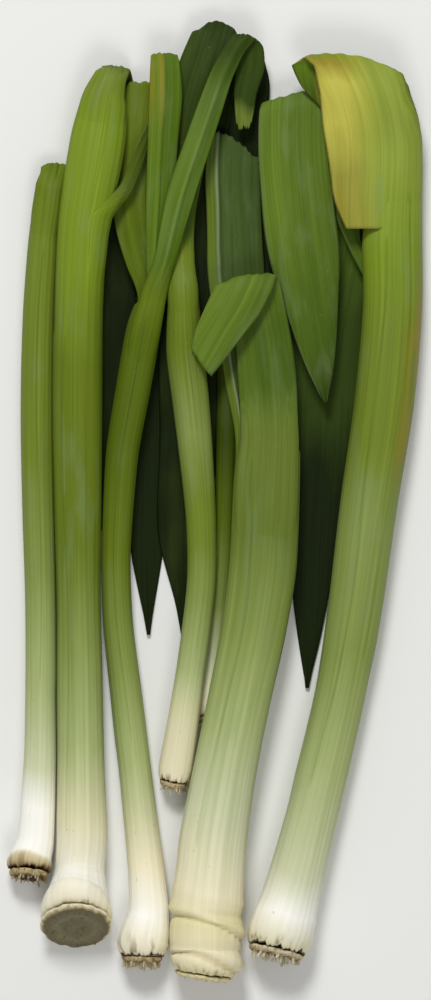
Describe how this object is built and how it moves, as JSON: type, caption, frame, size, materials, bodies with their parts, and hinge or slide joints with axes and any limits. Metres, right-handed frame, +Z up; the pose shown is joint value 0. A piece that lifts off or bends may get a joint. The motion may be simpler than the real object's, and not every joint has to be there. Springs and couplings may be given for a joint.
{
  "type": "green garlic bunch",
  "caption": "Bunch of young green garlic lying down: pale stems with trimmed roots at one end, long green leaves folded over at the other.",
  "frame": {"origin": "centre of the bounding box on the surface that the bunch lies on", "axes": "+Y along the plants from the trimmed roots to the folded leaves, +X across the bunch, +Z up from the surface"},
  "size_m": [0.0932, 0.2186, 0.0162],
  "materials": {
    "pale_stem": "satin, fine lengthwise ribs, white at the root end and green above",
    "bright_leaf": "satin, fine parallel veins",
    "dark_leaf": "satin with a light waxy bloom, parallel veins",
    "yellow_leaf": "satin, yellow with brown streaks",
    "brown_root": "dry, corky",
    "cut_root": "dry cut face"
  },
  "bodies": {
    "root": {"stem_1": "pale_stem", "stem_2": "pale_stem", "stem_3": "pale_stem", "stem_4": "pale_stem", "stem_5": "pale_stem", "stem_6": "pale_stem", "stem_7": "pale_stem", "root_plate_1": "brown_root", "root_plate_2": "cut_root", "root_plate_3": "brown_root", "root_plate_4": "brown_root", "root_plate_5": "brown_root", "root_plate_6": "cut_root", "root_plate_7": "brown_root", "leaf_1_a": "bright_leaf", "leaf_2_a": "dark_leaf", "leaf_2_b": "bright_leaf", "leaf_3_a": "bright_leaf", "leaf_3_b": "bright_leaf", "leaf_3_c": "bright_leaf", "leaf_4_a": "dark_leaf", "leaf_5_a": "dark_leaf", "leaf_6_a": "dark_leaf", "leaf_6_b": "dark_leaf", "leaf_7_a": "yellow_leaf", "leaf_7_b": "dark_leaf", "leaf_7_c": "dark_leaf"}
  },
  "joints": []
}
